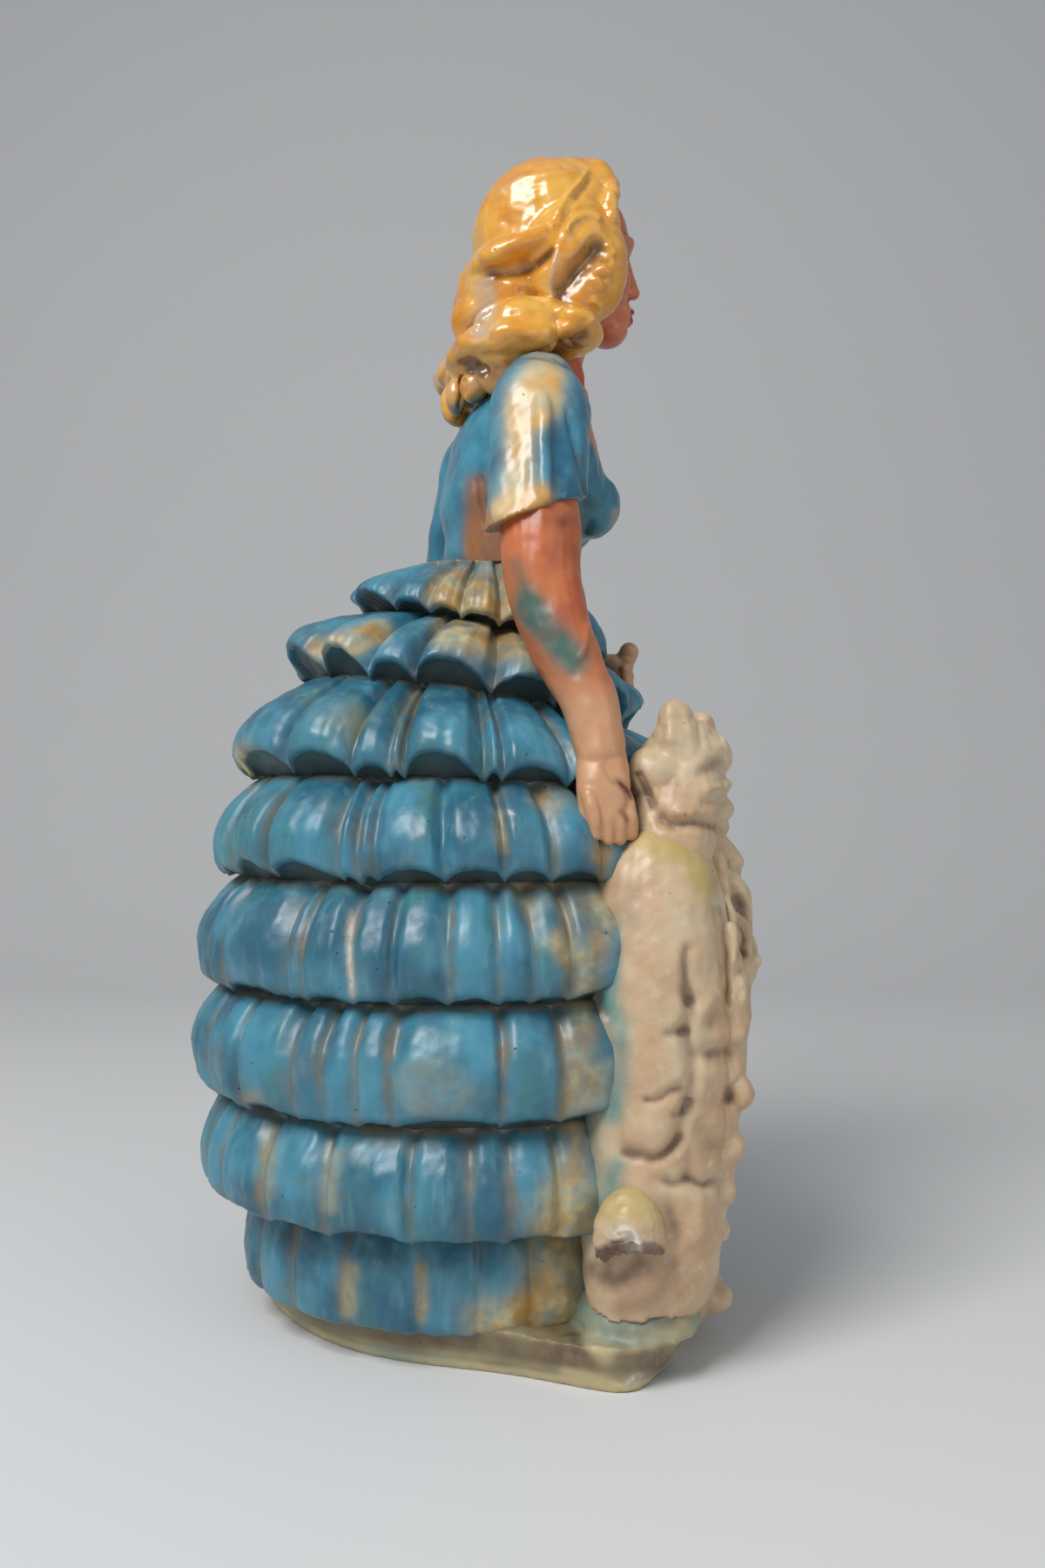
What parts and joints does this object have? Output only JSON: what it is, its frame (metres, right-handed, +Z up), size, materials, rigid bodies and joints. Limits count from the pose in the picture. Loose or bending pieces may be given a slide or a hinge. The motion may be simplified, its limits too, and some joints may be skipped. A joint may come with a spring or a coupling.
{
  "type": "chalkware figure",
  "caption": "Free-standing painted plaster figure of a lady in a ruffled crinoline dress with a long-haired dog seated at her side, for display on a shelf or table",
  "frame": {"origin": "centre of the footprint's bounding box, on the plane the plinth rests on", "axes": "+Z up, -Y the way the lady faces, +X towards her left hand; the dog sits at her front right, at -X and -Y"},
  "size_m": [0.1777, 0.1692, 0.362],
  "materials": {
    "turquoise_paint": "gloss",
    "bodice_paint": "gloss",
    "skin_paint": "gloss",
    "hair_paint": "gloss",
    "dog_paint": "gloss",
    "plinth_paint": "gloss",
    "shoe_paint": "gloss"
  },
  "bodies": {
    "root": {"bodice": "bodice_paint", "chest_and_neck": "skin_paint", "dog_body": "dog_paint", "dog_chest_ruff": "dog_paint", "dog_haunch": "dog_paint", "dog_head": "dog_paint", "dog_left_ear": "dog_paint", "dog_left_foreleg": "dog_paint", "dog_neck": "dog_paint", "dog_right_ear": "dog_paint", "dog_right_foreleg": "dog_paint", "dog_side_fringe": "dog_paint", "hair_back_wave": "hair_paint", "hair_crown": "hair_paint", "hair_left_roll": "hair_paint", "hair_left_wave": "hair_paint", "hair_right_roll": "hair_paint", "hair_right_wave": "hair_paint", "head": "skin_paint", "left_arm": "skin_paint", "left_hand": "skin_paint", "left_sleeve": "bodice_paint", "nape_left_curl": "hair_paint", "nape_right_curl": "hair_paint", "plinth": "plinth_paint", "right_arm": "skin_paint", "right_hand": "skin_paint", "right_sleeve": "bodice_paint", "shoe_toe": "shoe_paint", "skirt_ruffle_1": "turquoise_paint", "skirt_ruffle_2": "turquoise_paint", "skirt_ruffle_3": "turquoise_paint", "skirt_ruffle_4": "turquoise_paint", "skirt_ruffle_5": "turquoise_paint", "skirt_ruffle_6": "turquoise_paint", "skirt_ruffle_7": "turquoise_paint", "tail_stump": "dog_paint", "waist_ruffle": "turquoise_paint"}
  },
  "joints": []
}
